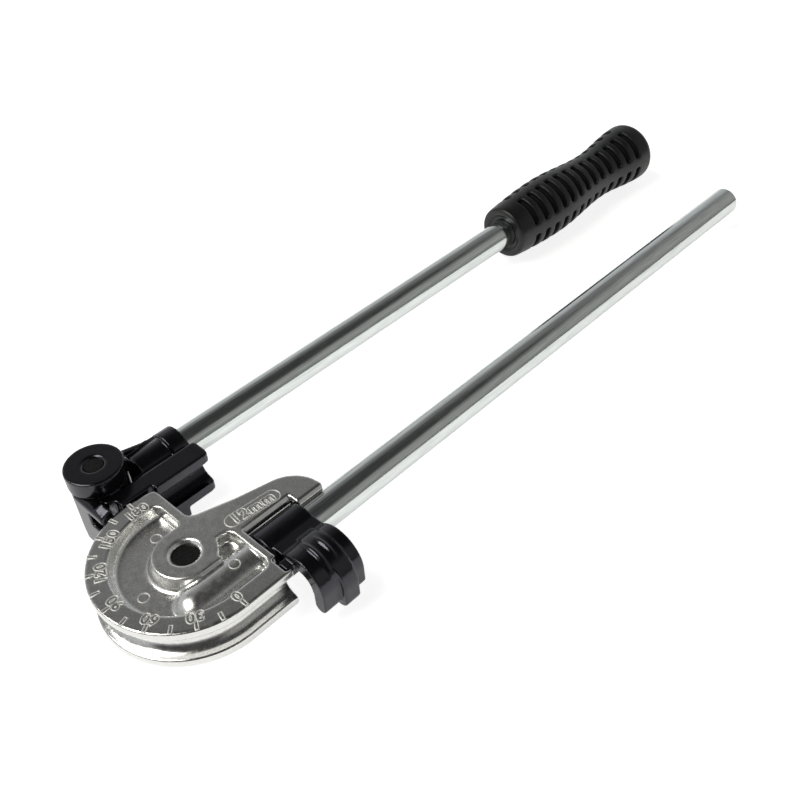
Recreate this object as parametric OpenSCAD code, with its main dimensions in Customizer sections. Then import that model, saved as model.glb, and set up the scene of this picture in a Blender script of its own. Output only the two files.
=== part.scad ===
// Hand-held lever bender for small metal tube: a grooved half-round former, a folding clamp hook,
// a swinging yoke and a grooved shoe on the end of the moving handle.
// Millimetres. The pivot of the former is the Z axis and the tool rests on z = 0.
// The handles run along +X, the moving one on the +Y side.

/* [Tube and bend] */
// Outside diameter of the tube that is bent
tube_d = 12; // [10:0.5:14]
// Radius of the bend at the tube's centre line
bend_r = 38; // [36:0.5:46]
// Radial play between the tube and the grooves
groove_play = 0.1; // [0.05:0.05:0.3]

/* [Former] */
// Thickness of each flange beside the groove
flange_t = 4; // [3:0.5:6]
// Length of the straight groove past the pivot
block_len = 22; // [20:0.5:26]
// Length of the flange tail at the end of the bend
tail_len = 12; // [9:0.5:14]
// Depth of the arm that carries the hook
arm_depth = 14; // [12:0.5:18]
// Length of the saddle at the tip of the arm
saddle_len = 13.4; // [9:0.1:16]
// Width of the rim outside the pocket
rim_w = 8.5; // [8:0.5:11]
// Depth of the pocket round the hub
pocket_depth = 6; // [3:0.5:7]
// Radius of the hub's top face
hub_top_r = 13; // [11:0.5:14]

/* [Handles] */
// Diameter of both handle rods
rod_d = 15; // [12:0.5:16]
// Distance from the tube's centre line in to the fixed rod
fixed_rod_inset = 20; // [19:0.5:22]
// Reach of the fixed rod from the pivot
fixed_rod_reach = 370; // [250:5:500]
// Depth turned off the fixed rod where it carries the former and the hook
spigot_step = 0.4; // [0.3:0.05:0.6]
// Reach of the moving handle's grip from the pivot
grip_reach = 389; // [280:1:520]
// Length of the grip
grip_len = 125; // [110:1:140]
// Radius of the grip at its near end
grip_start_r = 14.5; // [12:0.1:16]
// Radius of the grip at its swell
swell_r = 17; // [15:0.1:19]
// Radius of the grip at its waist
waist_r = 14.1; // [12.5:0.1:15]
// Radius of the grip at its far end
grip_end_r = 17.4; // [15:0.1:17.5]
// Number of finger slots along the grip
slot_count = 13; // [9:1:14]
// Width of a finger slot
slot_w = 4; // [2.5:0.5:5]
// Depth of a finger slot
slot_depth = 2.4; // [1:0.1:2.6]
// Diameter of the slotted spring pins that lock the rods
lock_pin_d = 4; // [3:0.5:5]

/* [Yoke] */
// Thickness of the yoke's plate under the former
plate_t = 6.5; // [5:0.5:8]
// Gap between the yoke's plate and the former
plate_gap = 1; // [0.8:0.1:2]
// Radius of the yoke's hub in the former's underside
hub_r = 12.6; // [11:0.1:13]
// Radius of the knuckle, a little under that of the shoe's ear
knuckle_r = 12; // [11:0.1:12]
// Height of the knuckle above the former
knuckle_rise = 1; // [0.6:0.1:2]
// Width of the jaw beside the shoe
jaw_w = 5.8; // [4:0.1:8]

/* [Shoe] */
// Distance from the tube's centre line out to the moving rod
shoe_span = 21.3; // [21:0.1:24]
// Distance from the tube's centre line to the back of the shoe's bar
bar_back = 8.8; // [8:0.1:8.8]
// Length of the shoe's bar ahead of its pivot
bar_nose = 6.3; // [4:0.1:8]
// Reach of the shoe behind its pivot
shoe_len = 40; // [34:0.5:48]
// Distance by which the shoe's lips reach in past the tube's centre line
lip_reach = 2; // [1:0.1:3]
// Wall of the rod socket in the shoe
socket_wall = 1.3; // [1.2:0.1:2]
// Wall of the collar at the end of the shoe's socket
collar_wall = 3; // [2.5:0.1:4]
// Thickness of the ear above the knuckle
ear_t = 8; // [6:0.5:10]

/* [Hook] */
// Length of the hook's sleeve along the fixed rod
hook_len = 23; // [20:0.5:28]
// Wall of the hook's sleeve
sleeve_wall = 3.5; // [2.4:0.1:3.6]
// Thickness of the hook's ring round the tube
ring_wall = 6.4; // [5:0.1:7]
// Distance by which the hook's rib stands out
rib_rise = 2.5; // [1:0.1:3]

/* [Pivots] */
// Diameter of the centre pivot pin
pivot_d = 11; // [9:0.5:12]
// Diameter of the shoe's pivot pin
shoe_pin_d = 8; // [6:0.5:9]
// Wall of both pivot bushes
bush_wall = 2; // [1:0.1:2.2]
// Thickness of the thrust washers
washer_t = 0.8; // [0.5:0.1:1]

/* [Clearances] */
// Radial clearance of pieces that are pressed or locked together
seat = 0.02; // [0.01:0.01:0.04]
// Clearance of pieces that turn on each other
run = 0.05; // [0.02:0.01:0.08]
// Gap between moving pieces that pass each other
air = 0.5; // [0.3:0.05:0.6]

/* [Hidden] */
$fn = 96;
past = 1;                                       // overshoot of a cut past the face it leaves

groove_r = tube_d / 2 + groove_play;
former_t = tube_d + 2 * flange_t;
former_z0 = plate_t + plate_gap;
former_z1 = former_z0 + former_t;
mid_z = former_z0 + former_t / 2;               // plane of the tube and of both rods
rod_r = rod_d / 2;
fixed_y = fixed_rod_inset - bend_r;             // axis of the fixed rod
moving_y = bend_r + shoe_span;                  // axis of the moving rod, through the shoe's pivot

// Former: the notch that holds the hook, the arm's outline and the pocket
spigot_r = rod_r - spigot_step;
sleeve_r = spigot_r + run + sleeve_wall;
notch_end = block_len + hook_len + 2 * air;
notch_y = fixed_y + rod_r + 1.5;                // straight wall above the hook's sleeve
arm_end = notch_end + saddle_len;
spigot_end = arm_end + air;
saddle_y = fixed_y + 3.6;                       // edge of the saddle over the fixed rod
arm_root_y = 13.5;                              // upper edge of the arm at the tail
arm_bend_x = 31;                                // slight bend in the arm's upper edge
arm_bend_y = fixed_y + 25.6;
arm_tip_y = fixed_y + 18.9;                     // upper edge of the arm at its tip, before rounding
arm_tip_r = 16;
notch_slope = [1.6, 2.2];                       // sloped top edge of the notch's wall, wide and deep
saddle_slope = [1.5, 1.5];                      // sloped top edge of the saddle
pocket_half_w = (bend_r - rim_w - hub_top_r) / 2;
pocket_mid_r = hub_top_r + pocket_half_w;
pocket_draft = 1.5;
pocket_fillet = 2.5;
pocket_corner = 4;
pocket_end = block_len - 3.4;                   // end of the pocket in the block
pocket_tail = tail_len - 4.5;                   // end of the pocket beside the tail
boss_r = rod_r + 1.6;                           // bulge over the rod's socket in the pocket
boss_x = -10;                                   // middle of the bulge's domed end
hub_recess_z = former_z0 + 6;                   // floor of the recess in the former's underside
socket_x = 6.2;                                 // blind end of the fixed rod's socket
fixed_pin_x = 13;
lug_seat = 2.4;                                 // depth of the stop lug's seat in the block's end
lug_y0 = 1.8;                                   // lug, measured in from the tube's centre line
lug_y1 = 6.8;
lug_z = former_z1 - 4;
// Edge of the lug's seat, clear of the lug as it swings up out of the former
lug_swing_y = fixed_y + air
    - sqrt(pow(fixed_rod_inset - lug_y1, 2) + pow(lug_z - mid_z, 2) - pow(former_t / 2, 2));
bore_lip = 1;                                   // step round the mouth of the pivot's bore
nook_x = 8;                                     // the pocket's nook beside the hub, towards the arm
nook_y = -3.5;

// Pins: a flat head sunk in the yoke's underside and a plain shank
head_t = 1.9;
head_over = 3.5;                                // width of a head's shoulder
seat_z = head_t + washer_t + 2 * run;           // floor of the sunk seats in the yoke
pivot_top = former_z1 - 2;
ear_z0 = former_z1 + knuckle_rise + run * 4;
ear_z1 = ear_z0 + ear_t;
ear_r = knuckle_r + 0.5;
shoe_pin_top = ear_z1 - 0.8;
hub_z1 = hub_recess_z - washer_t - 2 * run;     // top of the yoke's hub, under the thrust washer
knuckle_z1 = former_z1 + knuckle_rise;
yoke_edge = 3.6;                                // rounding of the yoke's lower edges
jaw_gap = air + 0.1;                            // from the former's rim to the jaw
jaw_recess = [3.4, 11];                         // recess in the jaw's outer side, deep and long
jaw_lip = 3.8;                                  // lip left above it
jaw_edge = 1.2;                                 // sloped edge of the lip

// Shoe
bar_over = plate_gap - 0.3;                     // the bar stands this far past the former's faces
bar_z0 = former_z0 - bar_over;
bar_z1 = former_z1 + bar_over;
shoe_groove_r = groove_r + groove_play;
socket_r = rod_r + seat + socket_wall;
collar_r = rod_r + seat + collar_wall;
collar_len = 8;
socket_start = knuckle_r + 2 + air;             // start of the moving rod inside the shoe
lip_x = tail_len + air + 0.2;                   // the lips start clear of the former's tail
nose_flat = 2.3;                                // end face of the bar's nose
nose_cut = 3.8;                                 // length of the slanted face behind it
nose_in = 4.4;                                  // where the slanted face ends, out from the tube
web_h = 11;                                     // height of the web from the bar to the socket
heel_len = 12.2;
heel_z = 2;
shoe_pin_x = socket_start + 8;
rib_t = 2.2;                                    // rib behind the socket, and its distance from the axis
rib_back = 6.4;

// Hook
hook_x = block_len + air;
ring_x = hook_x + 1.5;
ring_in = tube_d / 2 + 0.6;
ring_out = ring_in + ring_wall;
leg_in = ring_in + 0.4;                         // inner face of the hook's leg
tip_drop = 9.5;                                 // tip of the leg below the tube's centre line
web_drop = 3;                                   // web between ring and sleeve, below the tube
web_top = 9.5;                                  // its flat top, above the tube's centre line
rib_x = hook_x + 10;
rib_w = 7.5;
rib_top = 0.3;                                  // rise of the rib at the top of the arch

// Grip
grip_x = grip_reach - grip_len;
moving_rod_end = grip_reach - 9;
swell_at = 38;
waist_at = 82;
grip_end_round = 5;
slot_start = 13;                                // middle of the first slot
slot_pitch = (grip_len - slot_start - 15) / (slot_count - 1);
band_w = 6;                                     // smooth bands between the rows of slots
band_turn = -9;

function unit(v) = v / norm(v);

// Points of the arc that rounds the corner p between its neighbours a and b
function corner(p, a, b, r, n = 8) =
    let (u = unit(a - p), v = unit(b - p), half = acos(u * v) / 2, c = p + unit(u + v) * (r / sin(half)),
        s = p + u * (r / tan(half)) - c, e = p + v * (r / tan(half)) - c,
        a0 = atan2(s[1], s[0]), turn = (atan2(e[1], e[0]) - a0 + 540) % 360 - 180)
    [for (i = [0:n]) c + r * [cos(a0 + turn * i / n), sin(a0 + turn * i / n)]];

// Outline through points [x, y, corner radius]
function rounded(pts) = [for (i = [0:len(pts) - 1])
    let (n = len(pts), p = pts[i], a = pts[(i + n - 1) % n], b = pts[(i + 1) % n], xy = [p[0], p[1]])
    each (p[2] == 0 ? [xy] : corner(xy, [a[0], a[1]], [b[0], b[1]], p[2], p[2] > 8 ? 16 : 8))];

// A flat shape drawn in Y and Z, run along X
module along_x(x0, x1) translate([x0, 0, 0]) rotate([90, 0, 90]) linear_extrude(x1 - x0) children();

// A flat shape drawn in X and Z, run along Y
module along_y(y0, y1) translate([0, y1, 0]) rotate([90, 0, 0]) linear_extrude(y1 - y0) children();

// A round bar along X in the plane of the tube
module bar_x(x0, x1, r, y) translate([x0, y, mid_z]) rotate([0, 90, 0]) cylinder(r = r, h = x1 - x0);

// A round post along Z
module post(z0, z1, r, y = 0) translate([0, y, z0]) cylinder(r = r, h = z1 - z0);

// A cut along X that slopes the top edge of a wall at y, as wide and deep as size
module edge_slope(x0, x1, y, size) along_x(x0, x1) translate([y, former_z1])
    polygon([[-past, -size[1]], [0, -size[1]], [size[0], 0], [size[0], past], [-past, past]]);

// Plan of the former: half disc, tail, block and arm
module former_plan() {
    intersection() {
        circle(bend_r);
        translate([-bend_r, -bend_r]) square([bend_r, 2 * bend_r]);
    }
    polygon(rounded([[0, bend_r, 0], [tail_len, bend_r - 1, 2.5], [tail_len, arm_root_y, 5],
        [arm_bend_x, arm_bend_y, 20], [arm_end, arm_tip_y, arm_tip_r], [arm_end, saddle_y, 1.5],
        [notch_end, saddle_y, 0],
        [notch_end, notch_y, 0], [block_len, notch_y, 0], [block_len, -bend_r, 0.5], [0, -bend_r, 0]]));
}

// Section of the pocket: drafted walls and a filleted floor
module pocket_section() translate([pocket_mid_r, former_z1])
    polygon(rounded([[-pocket_half_w, past, 0], [-pocket_half_w, 0, 0],
        [pocket_draft - pocket_half_w, -pocket_depth, pocket_fillet],
        [pocket_half_w - pocket_draft, -pocket_depth, pocket_fillet], [pocket_half_w, 0, 0],
        [pocket_half_w, past, 0]]));

// A tall prism on a plan with rounded corners
module plan_prism(z0, pts) translate([0, 0, z0]) linear_extrude(former_z1 + past - z0) polygon(rounded(pts));

// The pocket goes round the hub and ends beside the tail and at the end of the block
module pocket() {
    rim_y = bend_r - rim_w;
    rotate([0, 0, 90]) rotate_extrude(angle = 180) pocket_section();
    intersection() {
        along_x(0, pocket_tail) pocket_section();
        plan_prism(0, [[0, rim_y, 0], [pocket_tail, rim_y, pocket_corner],
            [pocket_tail, hub_top_r, pocket_corner / 2], [0, hub_top_r, 0]]);
    }
    intersection() {
        along_x(0, pocket_end) mirror([1, 0]) pocket_section();
        plan_prism(0, [[0, -rim_y, 0], [pocket_end, -rim_y, pocket_corner], [pocket_end, -hub_top_r, 0],
            [0, -hub_top_r, 0]]);
    }
    difference() {
        plan_prism(former_z1 - pocket_depth, [[nook_x, -pocket_mid_r, 0], [pocket_end, -pocket_mid_r, 0],
            [pocket_end, nook_y, pocket_corner], [nook_x, nook_y, 0]]);
        post(0, former_z1 + 2 * past, hub_top_r);
    }
}

// Half-round groove for the tube: round the disc and straight along the block and the tail
module former_groove() {
    translate([0, 0, mid_z]) rotate([0, 0, 90]) rotate_extrude(angle = 180)
        translate([bend_r, 0]) circle(groove_r);
    bar_x(0, block_len + past, groove_r, -bend_r);
    bar_x(0, tail_len + past, groove_r, bend_r);
}

// Bright cast former with its scale rim, hub, hook notch and saddle
module former() color("silver") difference() {
    union() {
        difference() {
            union() {
                translate([0, 0, former_z0]) linear_extrude(former_t) intersection() {
                    former_plan();
                    translate([-2 * bend_r, -2 * bend_r]) square([2 * bend_r + block_len, 4 * bend_r]);
                }
                translate([0, 0, former_z1 - arm_depth]) linear_extrude(arm_depth) former_plan();
            }
            pocket();
        }
        bar_x(boss_x, pocket_end, boss_r, fixed_y);
        translate([boss_x, fixed_y, mid_z]) sphere(boss_r);
    }
    former_groove();
    bar_x(socket_x, arm_end + past, spigot_r + seat, fixed_y);
    bar_x(block_len, notch_end, sleeve_r + air, fixed_y);
    edge_slope(block_len, notch_end, notch_y, notch_slope);
    edge_slope(notch_end - past, arm_end + past, saddle_y, saddle_slope);
    post(0, former_z1 + past, pivot_d / 2 + seat);
    post(former_z0 - past, hub_recess_z, hub_r + air);
    post(former_z1 - bore_lip, former_z1 + past, pivot_d / 2 + bore_lip);
    lock_hole(fixed_pin_x, fixed_y);
    translate([block_len - lug_seat, lug_y0 - air - bend_r, lug_z - air])
        cube([lug_seat + past, lug_swing_y - lug_y0 + air + bend_r, former_t]);
}

// Blind cross hole of a locking pin, from the underside of a rod
module lock_hole(x, y) translate([x, y, 0]) cylinder(d = lock_pin_d + 2 * seat, h = mid_z + rod_r / 2);

// Bright steel rod with its far edge turned off
module handle_rod(x0, x1, y, edge) {
    bar_x(x0, x1 - edge, rod_r, y);
    translate([x1 - edge, y, mid_z]) rotate([0, 90, 0]) cylinder(r1 = rod_r, r2 = rod_r - edge, h = edge);
}

module fixed_handle_rod() color("gainsboro") difference() {
    union() {
        bar_x(socket_x + seat, spigot_end, spigot_r, fixed_y);
        handle_rod(spigot_end, fixed_rod_reach, fixed_y, 1);
    }
    lock_hole(fixed_pin_x, fixed_y);
}

module moving_handle_rod() color("gainsboro") difference() {
    handle_rod(socket_start + seat, moving_rod_end, moving_y, 1);
    lock_hole(shoe_pin_x, moving_y);
}

// Rolled spring pin with an open slit
module spring_pin(x, y, z0) translate([x, y, z0]) difference() {
    cylinder(d = lock_pin_d, h = mid_z + rod_r / 2 - seat - z0);
    translate([0, 0, -past]) cylinder(d = lock_pin_d * 0.6, h = former_t);
    translate([0, -lock_pin_d / 10, -past]) cube([lock_pin_d, lock_pin_d / 5, former_t]);
}

module fixed_handle_pin() color("dimgray") spring_pin(fixed_pin_x, fixed_y, former_z0 + 0.2);

module moving_handle_pin() color("dimgray") spring_pin(shoe_pin_x, moving_y, mid_z - socket_r + 0.4);

// Headed pivot pin: the head lies flush with the underside of the yoke
module headed_pin(d, top, y) {
    post(0, head_t, d / 2 + head_over, y);
    post(0, top, d / 2, y);
}

module centre_pivot_pin() color("#2a2b2d") headed_pin(pivot_d, pivot_top, 0);

module shoe_pivot_pin() color("#2a2b2d") headed_pin(shoe_pin_d, shoe_pin_top, moving_y);

// Flat steel washer round a pin
module washer(z0, d, r, y) difference() {
    post(z0, z0 + washer_t, r, y);
    post(z0 - past, z0 + washer_t + past, d / 2 + 2 * run, y);
}

module thrust_washer() color("gray") washer(hub_z1 + run, pivot_d, hub_r - air, 0);

module pivot_head_washer() color("gray") washer(head_t + run, pivot_d, pivot_d / 2 + head_over, 0);

module shoe_head_washer() color("gray")
    washer(head_t + run, shoe_pin_d, shoe_pin_d / 2 + head_over, moving_y);

// Plain bronze bush between a sunk seat and the top of its boss
module bush(z1, d, y) difference() {
    post(seat_z, z1, d / 2 + run + bush_wall, y);
    post(0, z1 + past, d / 2 + run, y);
}

module pivot_bush() color("goldenrod") bush(hub_z1, pivot_d, 0);

module lug_bush() color("goldenrod") bush(knuckle_z1, shoe_pin_d, moving_y);

// Bore for a bush, with the sunk seat of the pin's head below it
module pivot_bore(d, y) {
    post(0, former_z1 + 2 * knuckle_rise, d / 2 + run + bush_wall + seat, y);
    post(-past, seat_z, d / 2 + head_over + air, y);
}

// Black cast yoke: plate under the former, hub, knuckle and the jaw beside the shoe
module yoke() color("#1c1d1f") difference() {
    jaw_x = -bar_nose - air - jaw_w;
    union() {
        post(0, hub_z1, hub_r);
        along_y(0, moving_y) polygon(rounded([[-knuckle_r, 0, yoke_edge], [knuckle_r, 0, yoke_edge],
            [knuckle_r, plate_t, 0], [-knuckle_r, plate_t, 0]]));
        translate([0, moving_y, 0]) rotate_extrude()
            polygon(rounded([[0, 0, 0], [knuckle_r, 0, yoke_edge], [knuckle_r, knuckle_z1, 0.6],
                [0, knuckle_z1, 0]]));
        along_y(bend_r + jaw_gap, moving_y) polygon(rounded([[jaw_x, 0, yoke_edge], [jaw_x + jaw_w, 0, 0],
            [jaw_x + jaw_w, knuckle_z1, 0], [jaw_x + jaw_edge, knuckle_z1, 0],
            [jaw_x, knuckle_z1 - jaw_edge, 0]]));
    }
    translate([0, 0, mid_z]) rotate_extrude() translate([bend_r, 0]) circle(shoe_groove_r + air);
    translate([jaw_x - past, bend_r, mid_z])
        cube([jaw_recess[0] + past, jaw_recess[1], knuckle_z1 - jaw_lip - mid_z]);
    pivot_bore(pivot_d, 0);
    pivot_bore(shoe_pin_d, moving_y);
}

// Black cast shoe: channel bar for the tube, socket and collar for the rod, ear over the knuckle
module shoe() color("#1c1d1f") difference() {
    front_y = bend_r - lip_reach;
    back_y = bend_r + bar_back;
    nose = -bar_nose;
    union() {
        translate([0, 0, bar_z0]) linear_extrude(bar_z1 - bar_z0)
            polygon(rounded([[nose, back_y, 0], [nose, back_y - nose_flat, 0],
                [nose + nose_cut, bend_r + nose_in, 0], [nose + nose_cut, bend_r + air, 0],
                [lip_x, bend_r + air, 0], [lip_x, front_y, 0], [shoe_len, front_y, 2.5],
                [shoe_len, back_y, 1.5]]));
        translate([lip_x, front_y, heel_z]) cube([heel_len, back_y - front_y, former_z0 - heel_z]);
        bar_x(socket_start - 2, shoe_len, socket_r, moving_y);
        bar_x(shoe_len - collar_len, shoe_len, collar_r, moving_y);
        translate([0, back_y - past, mid_z - web_h / 2]) cube([shoe_len, shoe_span - bar_back, web_h]);
        post(ear_z0, ear_z1, ear_r, moving_y);
        shoe_neck();
    }
    bar_x(nose - past, shoe_len + past, shoe_groove_r, bend_r);
    bar_x(socket_start, shoe_len + past, rod_r + seat, moving_y);
    post(0, ear_z0, knuckle_r + air, moving_y);
    post(ear_z0 - past, ear_z1 + past, shoe_pin_d / 2 + seat, moving_y);
    post(shoe_pin_top, ear_z1 + past, shoe_pin_d / 2 + 0.8, moving_y);
    lock_hole(shoe_pin_x, moving_y);
}

// Neck that carries the ear on the socket, and the rib behind the socket from the ear to the collar
module shoe_neck() {
    collar_x = shoe_len - collar_len;
    module side_plate(y, w, pts) translate([0, moving_y + y + w / 2, 0]) rotate([90, 0, 0])
        linear_extrude(w) polygon(pts);
    side_plate(0, socket_r * 1.5, [[0, ear_z0], [knuckle_r, mid_z], [knuckle_r + 4.4, mid_z],
        [knuckle_r + 4, mid_z + socket_r], [knuckle_r + 3.4, ear_z0], [knuckle_r, ear_z1 - 2],
        [0, ear_z1 - 2]]);
    side_plate(rib_back, rib_t, [[0, ear_z0], [knuckle_r, mid_z], [collar_x + past, mid_z],
        [collar_x + past, mid_z + collar_r - 3.4], [knuckle_r + 13, mid_z + collar_r - 2.4],
        [knuckle_r + 4, ear_z0 - 0.8], [knuckle_r - 3, ear_z0 + 2], [0, ear_z0 + 2]]);
}

// Section of the hook round the tube: arch, leg with a round tip, and the web to the sleeve.
// The rib's section grows outwards and its arch sits lower, so that it is nearly flush on top.
module hook_section(grow, lower) translate([-bend_r, mid_z]) difference() {
    leg_r = (ring_out + grow - leg_in) / 2;
    tip = leg_r - tip_drop - grow;
    union() {
        intersection() {
            translate([0, -lower]) circle(ring_out + grow);
            translate([-2 * ring_out, -lower]) square([4 * ring_out, 2 * ring_out]);
        }
        translate([-leg_in - 2 * leg_r, tip]) square([2 * leg_r, -lower - tip]);
        translate([-leg_in - leg_r, tip]) circle(leg_r);
        polygon([[ring_in, web_top], [ring_in, -web_drop],
            [fixed_rod_inset - sleeve_r + past, -2 * web_drop], [fixed_rod_inset, 0],
            [fixed_rod_inset, web_top]]);
    }
    circle(ring_in);
    translate([-leg_in, -2 * ring_out]) square([leg_in + ring_in, 2 * ring_out]);
}

// Black cast hook: sleeve on the fixed rod, arch over the tube, rib and stop lug
module hook() color("#1c1d1f") difference() {
    hook_end = hook_x + hook_len;
    union() {
        bar_x(hook_x, hook_end, sleeve_r, fixed_y);
        along_x(ring_x, hook_end) hook_section(0, 0);
        along_x(rib_x, rib_x + rib_w) hook_section(rib_rise, rib_rise - rib_top);
        translate([block_len - lug_seat + air, lug_y0 - bend_r, lug_z])
            cube([ring_x + past - block_len + lug_seat - air, lug_y1 - lug_y0, former_z1 - lug_z - 0.2]);
    }
    bar_x(hook_x - past, hook_end + past, spigot_r + run, fixed_y);
}

function ease(t) = (1 - cos(180 * t)) / 2;

// Radius of the grip at the distance s from its near end: swell, waist and palm end
function grip_r(s) = s < swell_at ? grip_start_r + (swell_r - grip_start_r) * sin(90 * s / swell_at)
    : s < waist_at ? swell_r + (waist_r - swell_r) * ease((s - swell_at) / (waist_at - swell_at))
    : waist_r + (grip_end_r - waist_r) * ease((s - waist_at) / (grip_len - grip_end_round - waist_at));

// Moulded grip with four rows of finger slots between smooth bands
module grip() color("#17181a") translate([grip_x, moving_y, mid_z]) rotate([0, 90, 0]) difference() {
    side = grip_len - grip_end_round;
    rotate_extrude() polygon(concat([[0, 0], [grip_start_r - 1, 0]],
        [for (i = [0:29]) [grip_r(i / 29 * side), max(1, i / 29 * side)]],
        corner([grip_end_r, grip_len], [grip_end_r, side], [0, grip_len], grip_end_round), [[0, grip_len]]));
    translate([0, 0, -past]) cylinder(r = rod_r + seat, h = moving_rod_end - grip_x + past + seat);
    difference() {
        for (i = [0:slot_count - 1]) let (at = slot_start + i * slot_pitch)
            translate([0, 0, at - slot_w / 2]) difference() {
                cylinder(r = 2 * swell_r, h = slot_w);
                translate([0, 0, -past]) cylinder(r = grip_r(at) - slot_depth, h = slot_w + 2 * past);
            }
        for (turn = [0, 90]) rotate([0, 0, band_turn + turn])
            translate([-3 * swell_r, -band_w / 2, 0]) cube([6 * swell_r, band_w, grip_len]);
    }
}

former();
fixed_handle_rod();
fixed_handle_pin();
centre_pivot_pin();
thrust_washer();
pivot_head_washer();
yoke();
pivot_bush();
lug_bush();
shoe();
shoe_pivot_pin();
shoe_head_washer();
moving_handle_rod();
moving_handle_pin();
grip();
hook();
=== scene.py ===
import math

import bmesh
import bpy
from mathutils import Matrix, Vector


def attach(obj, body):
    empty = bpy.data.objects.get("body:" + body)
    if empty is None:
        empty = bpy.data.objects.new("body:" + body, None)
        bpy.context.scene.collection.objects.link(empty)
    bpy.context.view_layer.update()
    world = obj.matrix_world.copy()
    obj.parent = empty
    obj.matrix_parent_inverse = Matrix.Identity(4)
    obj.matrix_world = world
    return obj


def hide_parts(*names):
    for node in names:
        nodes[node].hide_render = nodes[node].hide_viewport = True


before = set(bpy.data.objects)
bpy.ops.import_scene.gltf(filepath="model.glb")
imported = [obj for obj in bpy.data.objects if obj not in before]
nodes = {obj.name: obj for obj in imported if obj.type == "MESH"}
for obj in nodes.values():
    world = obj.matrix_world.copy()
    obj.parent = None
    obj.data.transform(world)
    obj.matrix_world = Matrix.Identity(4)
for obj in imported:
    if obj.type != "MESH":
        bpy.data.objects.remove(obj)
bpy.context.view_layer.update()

# Former: a die casting with a bright plating, the bend's groove round it and a pocket cored out round
# its hub. The mould leaves rounded edges and faces that are slightly wavy, and the plating is duller
# inside the pocket.
MID_PLANE = 0.0175
ROD_RADIUS, FIXED_ROD_Y = 0.0075, -0.018
SADDLE_START, SADDLE_END, BORE_SIDES = 0.0459, 0.0599, 96
POCKET_EDGE = 0.0285, 0.0305
FORMER_CELL, FORMER_PASSES = 0.00046, 6
MERGE = 1e-6


def finish(name, colour, metallic, roughness):
    material = bpy.data.materials.new(name)
    material.use_nodes = True
    shader = material.node_tree.nodes["Principled BSDF"]
    shader.inputs["Base Color"].default_value = (*colour, 1)
    shader.inputs["Metallic"].default_value = metallic
    shader.inputs["Roughness"].default_value = roughness
    return material, material.node_tree, shader


def grain(tree, scale, detail=3.0, stretch=(1, 1, 1)):
    place = tree.nodes.new("ShaderNodeTexCoord")
    turn = tree.nodes.new("ShaderNodeMapping")
    turn.inputs["Scale"].default_value = stretch
    cloud = tree.nodes.new("ShaderNodeTexNoise")
    cloud.inputs["Scale"].default_value = scale
    cloud.inputs["Detail"].default_value = detail
    tree.links.new(place.outputs["Object"], turn.inputs["Vector"])
    tree.links.new(turn.outputs["Vector"], cloud.inputs["Vector"])
    return cloud.outputs["Fac"]


def level(tree, pattern, low, high, start=0.3, end=0.7):
    spread = tree.nodes.new("ShaderNodeMapRange")
    for socket, value in (("From Min", start), ("From Max", end), ("To Min", low), ("To Max", high)):
        spread.inputs[socket].default_value = value
    tree.links.new(pattern, spread.inputs["Value"])
    return spread.outputs["Result"]


def shades(tree, pattern, *stops):
    ramp = tree.nodes.new("ShaderNodeValToRGB")
    ramp.color_ramp.elements[0].position = stops[0][0]
    ramp.color_ramp.elements[1].position = stops[-1][0]
    for at, _ in stops[1:-1]:
        ramp.color_ramp.elements.new(at)
    for element, (_, colour) in zip(ramp.color_ramp.elements, stops):
        element.color = (*colour, 1)
    tree.links.new(pattern, ramp.inputs["Fac"])
    return ramp.outputs["Color"]


def coloured(tree, shader, pattern, *stops):
    tree.links.new(shades(tree, pattern, *stops), shader.inputs["Base Color"])


def roughened(tree, shader, pattern, low, high):
    tree.links.new(level(tree, pattern, low, high), shader.inputs["Roughness"])


def worked(tree, operation, *terms):
    step = tree.nodes.new("ShaderNodeMath")
    step.operation = operation
    for socket, term in zip(step.inputs, terms):
        if isinstance(term, float):
            socket.default_value = term
        else:
            tree.links.new(term, socket)
    return step.outputs["Value"]


def relief(tree, shader, *layers):
    below = None
    for pattern, depth, strength in layers:
        bump = tree.nodes.new("ShaderNodeBump")
        bump.inputs["Distance"].default_value = depth
        bump.inputs["Strength"].default_value = strength
        tree.links.new(pattern, bump.inputs["Height"])
        if below:
            tree.links.new(below, bump.inputs["Normal"])
        below = bump.outputs["Normal"]
    tree.links.new(below, shader.inputs["Normal"])


def as_mesh(bm, name):
    mesh = bpy.data.meshes.new(name)
    bm.to_mesh(mesh)
    bm.free()
    return mesh


def new_piece(name, data):
    piece = bpy.data.objects.new(name, data)
    bpy.context.scene.collection.objects.link(piece)
    return piece


def settled(piece):
    return bpy.data.meshes.new_from_object(piece.evaluated_get(bpy.context.evaluated_depsgraph_get()))


def coated(piece, material):
    piece.data.materials.clear()
    piece.data.materials.append(material)


def dressed(piece, material, body):
    coated(piece, material)
    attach(piece, body)


def casting(node, name, cell, passes, cutters=(), ridges=()):
    bm = bmesh.new()
    bm.from_mesh(nodes[node].data)
    for ridge in ridges:
        bm.from_mesh(ridge)
    bmesh.ops.remove_doubles(bm, verts=bm.verts, dist=MERGE)
    piece = new_piece(name, as_mesh(bm, name))
    for cutter in cutters:
        cut = piece.modifiers.new("cut", "BOOLEAN")
        cut.object = cutter
        cut.solver = "EXACT"
    skin = piece.modifiers.new("skin", "REMESH")
    skin.mode = "VOXEL"
    skin.voxel_size = cell
    rounding = piece.modifiers.new("rounding", "SMOOTH")
    rounding.factor = 0.5
    rounding.iterations = passes
    mesh = settled(piece)
    piece.modifiers.clear()
    piece.data = mesh
    mesh.shade_smooth()
    for cutter in cutters:
        bpy.data.objects.remove(cutter)
    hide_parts(node)
    return piece


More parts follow.
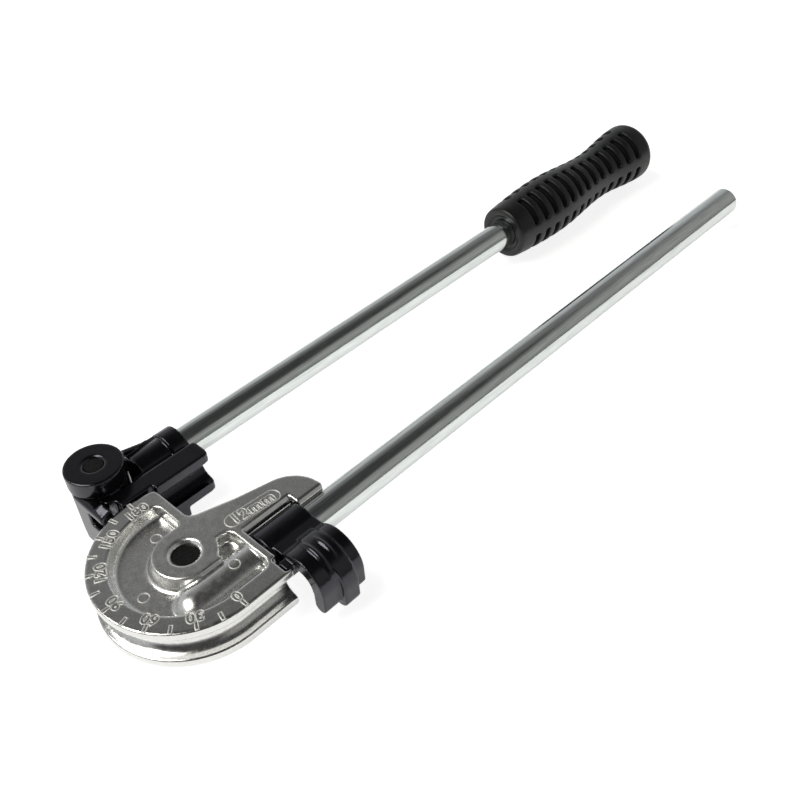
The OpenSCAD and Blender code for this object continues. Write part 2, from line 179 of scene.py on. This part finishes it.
bright_plate, tree, shader = finish("bright_plate", (0.88, 0.88, 0.86), 1.0, 0.25)
coloured(tree, shader, grain(tree, 1500, 5), (0.34, (0.78, 0.78, 0.76)), (0.5, (0.88, 0.88, 0.86)),
    (0.66, (0.95, 0.95, 0.93)))
place = tree.nodes.new("ShaderNodeTexCoord")
flat = tree.nodes.new("ShaderNodeMapping")
flat.inputs["Scale"].default_value = (1, 1, 0)
tree.links.new(place.outputs["Object"], flat.inputs["Vector"])
reach = tree.nodes.new("ShaderNodeVectorMath")
reach.operation = "LENGTH"
tree.links.new(flat.outputs["Vector"], reach.inputs[0])
wavy = level(tree, grain(tree, 420, 5), 0.15, 0.25)
dull_pocket = level(tree, reach.outputs["Value"], 0.07, 0.0, *POCKET_EDGE)
tree.links.new(worked(tree, "ADD", wavy, dull_pocket), shader.inputs["Roughness"])
relief(tree, shader, (grain(tree, 190, 2), 0.00015, 0.2), (grain(tree, 1500, 4), 0.00002, 0.2))
bm = bmesh.new()
bmesh.ops.create_cone(bm, cap_ends=True, segments=BORE_SIDES, radius1=ROD_RADIUS, radius2=ROD_RADIUS,
    depth=SADDLE_END - SADDLE_START)
bmesh.ops.rotate(bm, verts=bm.verts, matrix=Matrix.Rotation(math.pi / 2, 3, "Y"))
bmesh.ops.translate(bm, verts=bm.verts, vec=((SADDLE_START + SADDLE_END) / 2, FIXED_ROD_Y, MID_PLANE))
saddle_bore = new_piece("saddle_bore", as_mesh(bm, "saddle_bore"))
former = casting("former", "former_casting", FORMER_CELL, FORMER_PASSES, [saddle_bore])
dressed(former, bright_plate, "former_body")

# Degree scale: raised marks cast on the former's rim, a rib every 15 degrees and a number every 30.
# Each mark is an outline with a round top, and the tops of the numbers point outwards.
FORMER_TOP, MARK_RISE = 0.0275, 0.00028
SCALE_END, RIB_STEP, NUMBER_STEP = 180, 15, 30
RIB_INNER, RIB_OUTER, RIB_WIDTH = 0.0338, 0.0375, 0.0013
NUMBER_RADIUS, NUMBER_HEIGHT, NUMBER_BOLD, NUMBER_SPACING = 0.0315, 0.0042, 0.00036, 1.12
CAPITAL_SHARE = 0.7


def on_scale(degrees, radius):
    a = math.radians(degrees)
    out = Vector((-math.sin(a), -math.cos(a), 0))
    place = Matrix((Vector((out.y, -out.x, 0)), out, Vector((0, 0, 1)))).transposed().to_4x4()
    place.translation = out * radius + Vector((0, 0, FORMER_TOP))
    return place


def placed(target, bm, place):
    bmesh.ops.transform(bm, matrix=place, verts=bm.verts)
    mesh = as_mesh(bm, "mark")
    target.from_mesh(mesh)
    bpy.data.meshes.remove(mesh)


def raised(drawing):
    drawing.fill_mode = "NONE"
    drawing.bevel_depth, drawing.bevel_resolution = MARK_RISE, 1
    writer = new_piece("mark", drawing)
    mesh = settled(writer)
    bpy.data.objects.remove(writer)
    bm = bmesh.new()
    bm.from_mesh(mesh)
    bpy.data.meshes.remove(mesh)
    return bm


def raised_words(words, height, bold, spacing):
    lettering = bpy.data.curves.new("lettering", "FONT")
    lettering.body = words
    lettering.size = height / CAPITAL_SHARE
    lettering.offset = bold
    lettering.space_character = spacing
    lettering.align_x = lettering.align_y = "CENTER"
    return raised(lettering)


def raised_outline(points):
    outline = bpy.data.curves.new("outline", "CURVE")
    outline.dimensions = "2D"
    line = outline.splines.new("POLY")
    line.points.add(len(points) - 1)
    for point, (x, y) in zip(line.points, points):
        point.co = (x, y, 0, 1)
    line.use_cyclic_u = True
    return raised(outline)


# Marks: rubbed to a rougher satin finish, and coloured lighter than the plate, a painted sheen for the
# light that the raised outlines catch.
worn_and_painted_sheen, tree, shader = finish("worn_and_painted_sheen", (0.8, 0.8, 0.77), 1.0, 0.5)
coloured(tree, shader, grain(tree, 800, 4), (0.35, (0.86, 0.86, 0.83)), (0.65, (0.99, 0.99, 0.96)))
roughened(tree, shader, grain(tree, 1800, 3), 0.5, 0.65)
relief(tree, shader, (grain(tree, 2200, 3), 0.00004, 0.5))
x, y = RIB_WIDTH / 2, (RIB_OUTER - RIB_INNER) / 2
marks = bmesh.new()
for degrees in range(0, SCALE_END + 1, RIB_STEP):
    rib = raised_outline([(-x, -y), (x, -y), (x, y), (-x, y)])
    placed(marks, rib, on_scale(degrees, (RIB_INNER + RIB_OUTER) / 2))
    if degrees % NUMBER_STEP == 0:
        number = raised_words(str(degrees), NUMBER_HEIGHT, NUMBER_BOLD, NUMBER_SPACING)
        placed(marks, number, on_scale(degrees, NUMBER_RADIUS))
scale = new_piece("former_scale", as_mesh(marks, "former_scale"))
# The scale's marks carry the lighter colour, a painted sheen.
dressed(scale, worn_and_painted_sheen, "former_body")

# Size panel and mould marks: a raised oval frame on the former's arm round the size of the tube, and
# the three round marks that the mould's ejector pins leave in the pocket and on the rod's bulge.
PANEL_CENTRE, PANEL_TURN = (0.0319, -0.0025, FORMER_TOP), math.radians(-5.6)
PANEL_HALF_LENGTH, PANEL_HALF_WIDTH = 0.0127, 0.0034
SIZE_HEIGHT, SIZE_BOLD, SIZE_SPACING = 0.0051, 0.00034, 1.14
EJECTOR_MARKS = ((-0.001, 0.0193, 0.0215), (-0.0215, -0.0013, 0.0215), (0.0094, -0.0185, 0.0265))
EJECTOR_RADIUS, OVAL_STEPS = 0.0022, 48


def raised_oval(radius, stretch):
    points = []
    for i in range(OVAL_STEPS):
        a = 2 * math.pi * (i + 0.5) / OVAL_STEPS
        points.append((radius * math.cos(a) + math.copysign(stretch, math.cos(a)), radius * math.sin(a)))
    return raised_outline(points)


marks = bmesh.new()
place = Matrix.Translation(PANEL_CENTRE) @ Matrix.Rotation(PANEL_TURN, 4, "Z")
placed(marks, raised_oval(PANEL_HALF_WIDTH, PANEL_HALF_LENGTH - PANEL_HALF_WIDTH), place)
placed(marks, raised_words("12mm", SIZE_HEIGHT, SIZE_BOLD, SIZE_SPACING), place)
for centre in EJECTOR_MARKS:
    placed(marks, raised_oval(EJECTOR_RADIUS, 0), Matrix.Translation(centre))
panel = new_piece("former_marks", as_mesh(marks, "former_marks"))
# The panel and the ejector marks carry the same lighter colour, a painted sheen.
dressed(panel, worn_and_painted_sheen, "former_body")

# Handle rods: drawn steel bar, bright zinc plated, with faint light and dark lines along the bar from
# the die. The moving one is pinned in the shoe. The fixed one is pinned in the former, and here it
# keeps its full thickness up to the hook.
SAME_PLACE, SHARP_EDGE = 1e-5, 0.6
zinc, tree, shader = finish("zinc", (0.8, 0.84, 0.82), 1.0, 0.2)
coloured(tree, shader, grain(tree, 1300, 6, (0.06, 1, 1)), (0.32, (0.73, 0.77, 0.75)),
    (0.68, (0.93, 0.97, 0.95)))
roughened(tree, shader, grain(tree, 700, 4, (0.25, 1, 1)), 0.08, 0.18)
relief(tree, shader, (grain(tree, 900, 2, (0.012, 1, 1)), 0.00002, 0.5),
    (grain(tree, 420, 3), 0.00004, 0.3))
coated(nodes["moving_handle_rod"], zinc)
bm = bmesh.new()
bm.from_mesh(nodes["fixed_handle_rod"].data)
bmesh.ops.remove_doubles(bm, verts=bm.verts, dist=MERGE)
for vert in bm.verts:
    if abs(vert.co.x - SADDLE_END) < SAME_PLACE:
        vert.co.x = SADDLE_START
for face in bm.faces:
    face.smooth = True
for edge in bm.edges:
    edge.smooth = edge.is_manifold and edge.calc_face_angle() < SHARP_EDGE
fixed_rod = new_piece("fixed_rod_bar", as_mesh(bm, "fixed_rod_bar"))
dressed(fixed_rod, zinc, "former_body")
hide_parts("fixed_handle_rod")

# Steel pins and washers: the spring pins that lock the rods, and the thrust washers, are plain rolled
# or stamped steel with a dull grey skin.
plain_steel, tree, shader = finish("plain_steel", (0.5, 0.5, 0.49), 1.0, 0.35)
coloured(tree, shader, grain(tree, 900, 4), (0.3, (0.4, 0.4, 0.39)), (0.7, (0.55, 0.55, 0.54)))
roughened(tree, shader, grain(tree, 2500, 3), 0.28, 0.45)
for node in ("fixed_handle_pin", "moving_handle_pin", "thrust_washer", "pivot_head_washer",
        "shoe_head_washer"):
    coated(nodes[node], plain_steel)

# Pivot pins: turned steel, blackened, with fine turning rings on their end faces. Each goes through
# its joint from below, its head sunk in the yoke.
MOVING_ROD_Y = 0.0593
for node, y in (("centre_pivot_pin", 0), ("shoe_pivot_pin", MOVING_ROD_Y)):
    black_oxide, tree, shader = finish(f"black_oxide_{node}", (0.03, 0.03, 0.031), 0.6, 0.4)
    place = tree.nodes.new("ShaderNodeTexCoord")
    turn = tree.nodes.new("ShaderNodeMapping")
    turn.inputs["Location"].default_value = (0, -y, 0)
    rings = tree.nodes.new("ShaderNodeTexWave")
    rings.wave_type = "RINGS"
    rings.rings_direction = "Z"
    rings.inputs["Scale"].default_value = 900
    rings.inputs["Distortion"].default_value = 0.6
    tree.links.new(place.outputs["Object"], turn.inputs["Vector"])
    tree.links.new(turn.outputs["Vector"], rings.inputs["Vector"])
    coloured(tree, shader, grain(tree, 700, 4), (0.3, (0.008, 0.008, 0.008)), (0.7, (0.02, 0.02, 0.02)))
    roughened(tree, shader, grain(tree, 1600, 3), 0.32, 0.48)
    relief(tree, shader, (rings.outputs["Fac"], 0.00001, 0.4))
    coated(nodes[node], black_oxide)

# Bushes: sintered bronze sleeves pressed into the yoke's two bores, one for each pivot pin. Their open
# pores show as fine darker specks.
bronze, tree, shader = finish("sintered_bronze", (0.55, 0.36, 0.15), 1.0, 0.45)
coloured(tree, shader, grain(tree, 3000, 3), (0.35, (0.36, 0.22, 0.09)), (0.6, (0.6, 0.4, 0.17)))
roughened(tree, shader, grain(tree, 1200, 3), 0.38, 0.55)
for node in ("pivot_bush", "lug_bush"):
    coated(nodes[node], bronze)

# Yoke and shoe: steel castings with rounded edges under a gloss black stove enamel, which has a slight
# orange peel. The yoke swings under the former and carries the shoe's ear. A low lip on the end of its
# jaw slopes down to the outer edge.
ENAMELLED_CELL, ENAMELLED_PASSES = 0.0004, 10
JAW_TOP = 0.0285
JAW_LIP = ((-0.0116, 0.0280), (-0.0116, 0.0284), (-0.0080, 0.0299), (-0.0075, 0.0299), (-0.0071, 0.0280))
LIP_START, LIP_LENGTH, LIP_TILT = 0.0387, 0.0061, math.radians(5)
enamel, tree, shader = finish("black_enamel", (0.004, 0.004, 0.0045), 0.0, 0.22)
shader.inputs["Specular IOR Level"].default_value = 0.85
shader.inputs["Specular Tint"].default_value = (0.87, 0.86, 1, 1)
coloured(tree, shader, grain(tree, 300, 4), (0.35, (0.0015, 0.0015, 0.0017)),
    (0.7, (0.0035, 0.0035, 0.0039)))
roughened(tree, shader, grain(tree, 500, 4), 0.13, 0.22)
relief(tree, shader, (grain(tree, 600, 2), 0.00006, 0.35))
bm = bmesh.new()
section = bm.faces.new([bm.verts.new((x, LIP_START, z)) for x, z in JAW_LIP])
swept = bmesh.ops.extrude_face_region(bm, geom=[section])["geom"]
far_end = [part for part in swept if isinstance(part, bmesh.types.BMVert)]
bmesh.ops.translate(bm, verts=far_end, vec=(0, LIP_LENGTH, 0))
bmesh.ops.rotate(bm, verts=bm.verts, cent=(0, LIP_START + LIP_LENGTH / 2, JAW_TOP),
    matrix=Matrix.Rotation(LIP_TILT, 3, "X"))
bmesh.ops.recalc_face_normals(bm, faces=bm.faces)
jaw_lip = as_mesh(bm, "jaw_lip")
yoke = casting("yoke", "yoke_casting", ENAMELLED_CELL, ENAMELLED_PASSES, ridges=[jaw_lip])
dressed(yoke, enamel, "yoke")
shoe = casting("shoe", "shoe_casting", ENAMELLED_CELL, ENAMELLED_PASSES)
dressed(shoe, enamel, "shoe_lever")

# Hook: a casting in the same enamel, which turns on the fixed rod and holds the tube in the groove. Two
# low ridges run along the top of its arch and run out into it at both ends.
HOOK_ARCH, ARCH_RADIUS = Vector((0, -0.038, MID_PLANE)), 0.013
RIDGE_HALF_TURN, RIDGE_LEAN = math.radians(60), math.radians(14)
RIDGE_SIDES, RIDGE_STEPS = 20, 24
WIDE_RIDGE = {"x": 0.0313, "radius": 0.0011, "rise": 0.0011, "sweep": 0.0112}
NARROW_RIDGE = {"x": 0.0362, "radius": 0.0008, "rise": 0.0011, "sweep": 0.0105}


def arch_ridge(x, radius, rise, sweep):
    crest = HOOK_ARCH + Vector((x, 0, ARCH_RADIUS + rise - radius))
    centre = crest - Vector((0, 0, sweep))
    bm = bmesh.new()
    bmesh.ops.create_circle(bm, segments=RIDGE_SIDES, radius=radius,
        matrix=Matrix.Translation(crest) @ Matrix.Rotation(math.pi / 2, 4, "X"))
    bmesh.ops.rotate(bm, verts=bm.verts, cent=centre, matrix=Matrix.Rotation(-RIDGE_HALF_TURN, 3, "X"))
    bmesh.ops.spin(bm, geom=bm.verts[:] + bm.edges[:], cent=centre, axis=(1, 0, 0),
        angle=2 * RIDGE_HALF_TURN, steps=RIDGE_STEPS)
    bmesh.ops.holes_fill(bm, edges=bm.edges)
    bmesh.ops.rotate(bm, verts=bm.verts, cent=HOOK_ARCH, matrix=Matrix.Rotation(RIDGE_LEAN, 3, "X"))
    bmesh.ops.recalc_face_normals(bm, faces=bm.faces)
    return as_mesh(bm, "arch_ridge")


ridges = [arch_ridge(**WIDE_RIDGE), arch_ridge(**NARROW_RIDGE)]
hook = casting("hook", "hook_casting", ENAMELLED_CELL, ENAMELLED_PASSES, ridges=ridges)
dressed(hook, enamel, "hook")

# Grip: moulded black plastic pushed on the moving rod, with four rows of finger slots between smooth
# bands, softly rounded edges and a shallow counterbore where the rod goes in. The slots' floors are
# rougher than the bands, and their colour is darker and less glossy: painted shade for the light that
# the deep slots keep out.
GRIP_START, ROD_AXIS = 0.264, Vector((0, MOVING_ROD_Y, MID_PLANE))
GRIP_CELL, GRIP_PASSES = 0.00056, 2
COUNTERBORE = ((-0.002, 0.007), (-0.002, 0.0112), (0.0006, 0.0106), (0.0016, 0.0096), (0.0016, 0.007))
COUNTERBORE_SIDES = 64
SLOTS_START, SLOTS_END = GRIP_START + 0.009, GRIP_START + 0.116
SLOT_LIP, STATION_LENGTH = 0.0007, 0.001
bm = bmesh.new()
ring = [bm.verts.new((GRIP_START + x, ROD_AXIS.y, ROD_AXIS.z + r)) for x, r in COUNTERBORE]
loop = [bm.edges.new((a, b)) for a, b in zip(ring, ring[1:] + ring[:1])]
bmesh.ops.spin(bm, geom=ring + loop, cent=ROD_AXIS, axis=(1, 0, 0), angle=2 * math.pi,
    steps=COUNTERBORE_SIDES, use_merge=True)
bmesh.ops.remove_doubles(bm, verts=bm.verts, dist=MERGE)
bmesh.ops.recalc_face_normals(bm, faces=bm.faces)
counterbore = new_piece("counterbore", as_mesh(bm, "counterbore"))
moulded, tree, shader = finish("moulded_grip", (0.01, 0.01, 0.0105), 0.0, 0.45)
shader.inputs["Specular IOR Level"].default_value = 0.5
coloured(tree, shader, grain(tree, 200, 4), (0.3, (0.008, 0.008, 0.0084)), (0.7, (0.012, 0.012, 0.0126)))
roughened(tree, shader, grain(tree, 600, 4), 0.3, 0.42)
relief(tree, shader, (grain(tree, 2600, 3), 0.00004, 0.4))
grip = casting("grip", "grip_moulding", GRIP_CELL, GRIP_PASSES, [counterbore])
dressed(grip, moulded, "shoe_lever")
# Slot floors: a rougher finish, and a darker, less glossy colour that is painted shade.
slot_painted_shade, tree, shader = finish("slots_painted_shade", (0.005, 0.005, 0.005), 0.0, 0.7)
shader.inputs["Specular IOR Level"].default_value = 0.16
coloured(tree, shader, grain(tree, 500, 4), (0.3, (0.004, 0.004, 0.004)), (0.7, (0.007, 0.007, 0.007)))
roughened(tree, shader, grain(tree, 900, 4), 0.62, 0.8)
grip.data.materials.append(slot_painted_shade)
outline = {}
for face in grip.data.polygons:
    station = round(face.center.x / STATION_LENGTH)
    outline[station] = max(outline.get(station, 0), (face.center - ROD_AXIS).yz.length)
# Faces sunk below the grip's outline within the slotted length get the painted shade.
for face in grip.data.polygons:
    x = face.center.x
    deep = (face.center - ROD_AXIS).yz.length < outline[round(x / STATION_LENGTH)] - SLOT_LIP
    if deep and SLOTS_START < x < SLOTS_END:
        face.material_index = 1

# Studio: a white floor that keeps a faint shadow, a grey room that is dark overhead and lighter low at
# the back, and one large softbox high on the left. The room's tones are what the bright rods mirror.
FLOOR_HALF, FLOOR_HEIGHT = 6, -0.0004
FLOOR_SHOWN, FLOOR_MIRRORED = 0.83, 0.49
bm = bmesh.new()
bmesh.ops.create_grid(bm, x_segments=1, y_segments=1, size=FLOOR_HALF)
bmesh.ops.translate(bm, verts=bm.verts, vec=(0, 0, FLOOR_HEIGHT))
floor = new_piece("floor", as_mesh(bm, "floor"))
paper, tree, shader = finish("white_paper", (0.8, 0.8, 0.8), 0.0, 0.9)
shader.inputs["Specular IOR Level"].default_value = 0.0
seen = tree.nodes.new("ShaderNodeLightPath")
mirror = worked(tree, "MAXIMUM", seen.outputs["Is Glossy Ray"], seen.outputs["Is Transmission Ray"])
mirrored = worked(tree, "MULTIPLY", mirror, FLOOR_MIRRORED)
shown = worked(tree, "MULTIPLY_ADD", seen.outputs["Is Camera Ray"], FLOOR_SHOWN, mirrored)
glow = tree.nodes.new("ShaderNodeEmission")
tree.links.new(shown, glow.inputs["Strength"])
both = tree.nodes.new("ShaderNodeAddShader")
tree.links.new(shader.outputs["BSDF"], both.inputs[0])
tree.links.new(glow.outputs["Emission"], both.inputs[1])
tree.links.new(both.outputs["Shader"], tree.nodes["Material Output"].inputs["Surface"])
coated(floor, paper)

room = bpy.data.worlds.new("room")
room.use_nodes = True
tree = room.node_tree
place = tree.nodes.new("ShaderNodeTexCoord")
split = tree.nodes.new("ShaderNodeSeparateXYZ")
tree.links.new(place.outputs["Generated"], split.inputs["Vector"])
front = shades(tree, split.outputs["Z"], (0.0, (0.07, 0.07, 0.07)), (0.05, (0.1, 0.1, 0.1)),
    (0.1, (0.22, 0.22, 0.22)), (0.4, (0.29, 0.29, 0.28)), (0.64, (0.25, 0.25, 0.245)),
    (0.78, (0.05, 0.05, 0.05)), (1.0, (0.03, 0.03, 0.03)))
viewer_side = shades(tree, split.outputs["Z"], (0.0, (0.3, 0.3, 0.3)), (0.3, (0.05, 0.05, 0.05)),
    (1.0, (0.04, 0.04, 0.04)))
rear = shades(tree, split.outputs["Z"], (0.0, (0.52, 0.53, 0.54)), (0.42, (0.42, 0.43, 0.44)),
    (0.53, (0.32, 0.32, 0.33)), (0.62, (0.175, 0.175, 0.175)), (0.74, (0.15, 0.15, 0.15)),
    (0.85, (0.05, 0.05, 0.05)), (1.0, (0.03, 0.03, 0.03)))
left = level(tree, split.outputs["X"], 1.0, 0.0, -0.25, 0.0)
behind = level(tree, split.outputs["Y"], 0.0, 1.0, -0.08, 0.08)
seen = tree.nodes.new("ShaderNodeLightPath")
below = front
for above, share in ((viewer_side, left), (rear, behind), (None, seen.outputs["Is Camera Ray"])):
    blend = tree.nodes.new("ShaderNodeMix")
    blend.data_type = "RGBA"
    blend.inputs["B"].default_value = (1, 1, 1, 1)
    tree.links.new(share, blend.inputs["Factor"])
    tree.links.new(below, blend.inputs["A"])
    if above:
        tree.links.new(above, blend.inputs["B"])
    below = blend.outputs["Result"]
tree.links.new(below, tree.nodes["Background"].inputs["Color"])
bpy.context.scene.world = room

SOFTBOX_AIM, SOFTBOX_DISTANCE = Vector((0.1, 0.02, 0.02)), 2.4
SOFTBOX_AZIMUTH, SOFTBOX_ELEVATION = -118, 56
SOFTBOX_WIDTH, SOFTBOX_DEPTH, SOFTBOX_WATTS = 1.8, 1.2, 32.0


def seen_from(azimuth, elevation):
    a, e = math.radians(azimuth), math.radians(elevation)
    return Vector((math.sin(a) * math.cos(e), -math.cos(a) * math.cos(e), math.sin(e)))


softbox = bpy.data.lights.new("softbox_left", "AREA")
softbox.shape = "RECTANGLE"
softbox.size, softbox.size_y = SOFTBOX_WIDTH, SOFTBOX_DEPTH
softbox.energy = SOFTBOX_WATTS
softbox.color = (1, 0.985, 0.94)
stand = new_piece("softbox_left", softbox)
towards = seen_from(SOFTBOX_AZIMUTH, SOFTBOX_ELEVATION)
stand.location = SOFTBOX_AIM + towards * SOFTBOX_DISTANCE
stand.rotation_euler = towards.to_track_quat("Z", "Y").to_euler()
stand.visible_camera = False

# Camera: at the photograph's place, found from the former's rim, the scale and the two parallel rods,
# with a slight tilt about its own line of sight.
CAMERA_PLACE = (-0.1089, -0.24112, 0.31413)
CAMERA_AZIMUTH, CAMERA_ELEVATION, CAMERA_TILT = -43.3983, 41.115, math.radians(-4.4506)
LENS, SENSOR, NEAR_LIMIT = 44.398, 36, 0.01
camera = bpy.data.cameras.new("camera")
camera.lens, camera.sensor_width, camera.clip_start = LENS, SENSOR, NEAR_LIMIT
viewer = new_piece("camera", camera)
back = seen_from(CAMERA_AZIMUTH, CAMERA_ELEVATION)
right = (-back).cross(Vector((0, 0, 1))).normalized()
up = right.cross(-back)
across = math.cos(CAMERA_TILT) * right + math.sin(CAMERA_TILT) * up
upright = math.cos(CAMERA_TILT) * up - math.sin(CAMERA_TILT) * right
place = Matrix((across, upright, back)).transposed().to_4x4()
place.translation = CAMERA_PLACE
viewer.matrix_world = place
bpy.context.scene.camera = viewer
bpy.context.scene.view_settings.view_transform = "Standard"
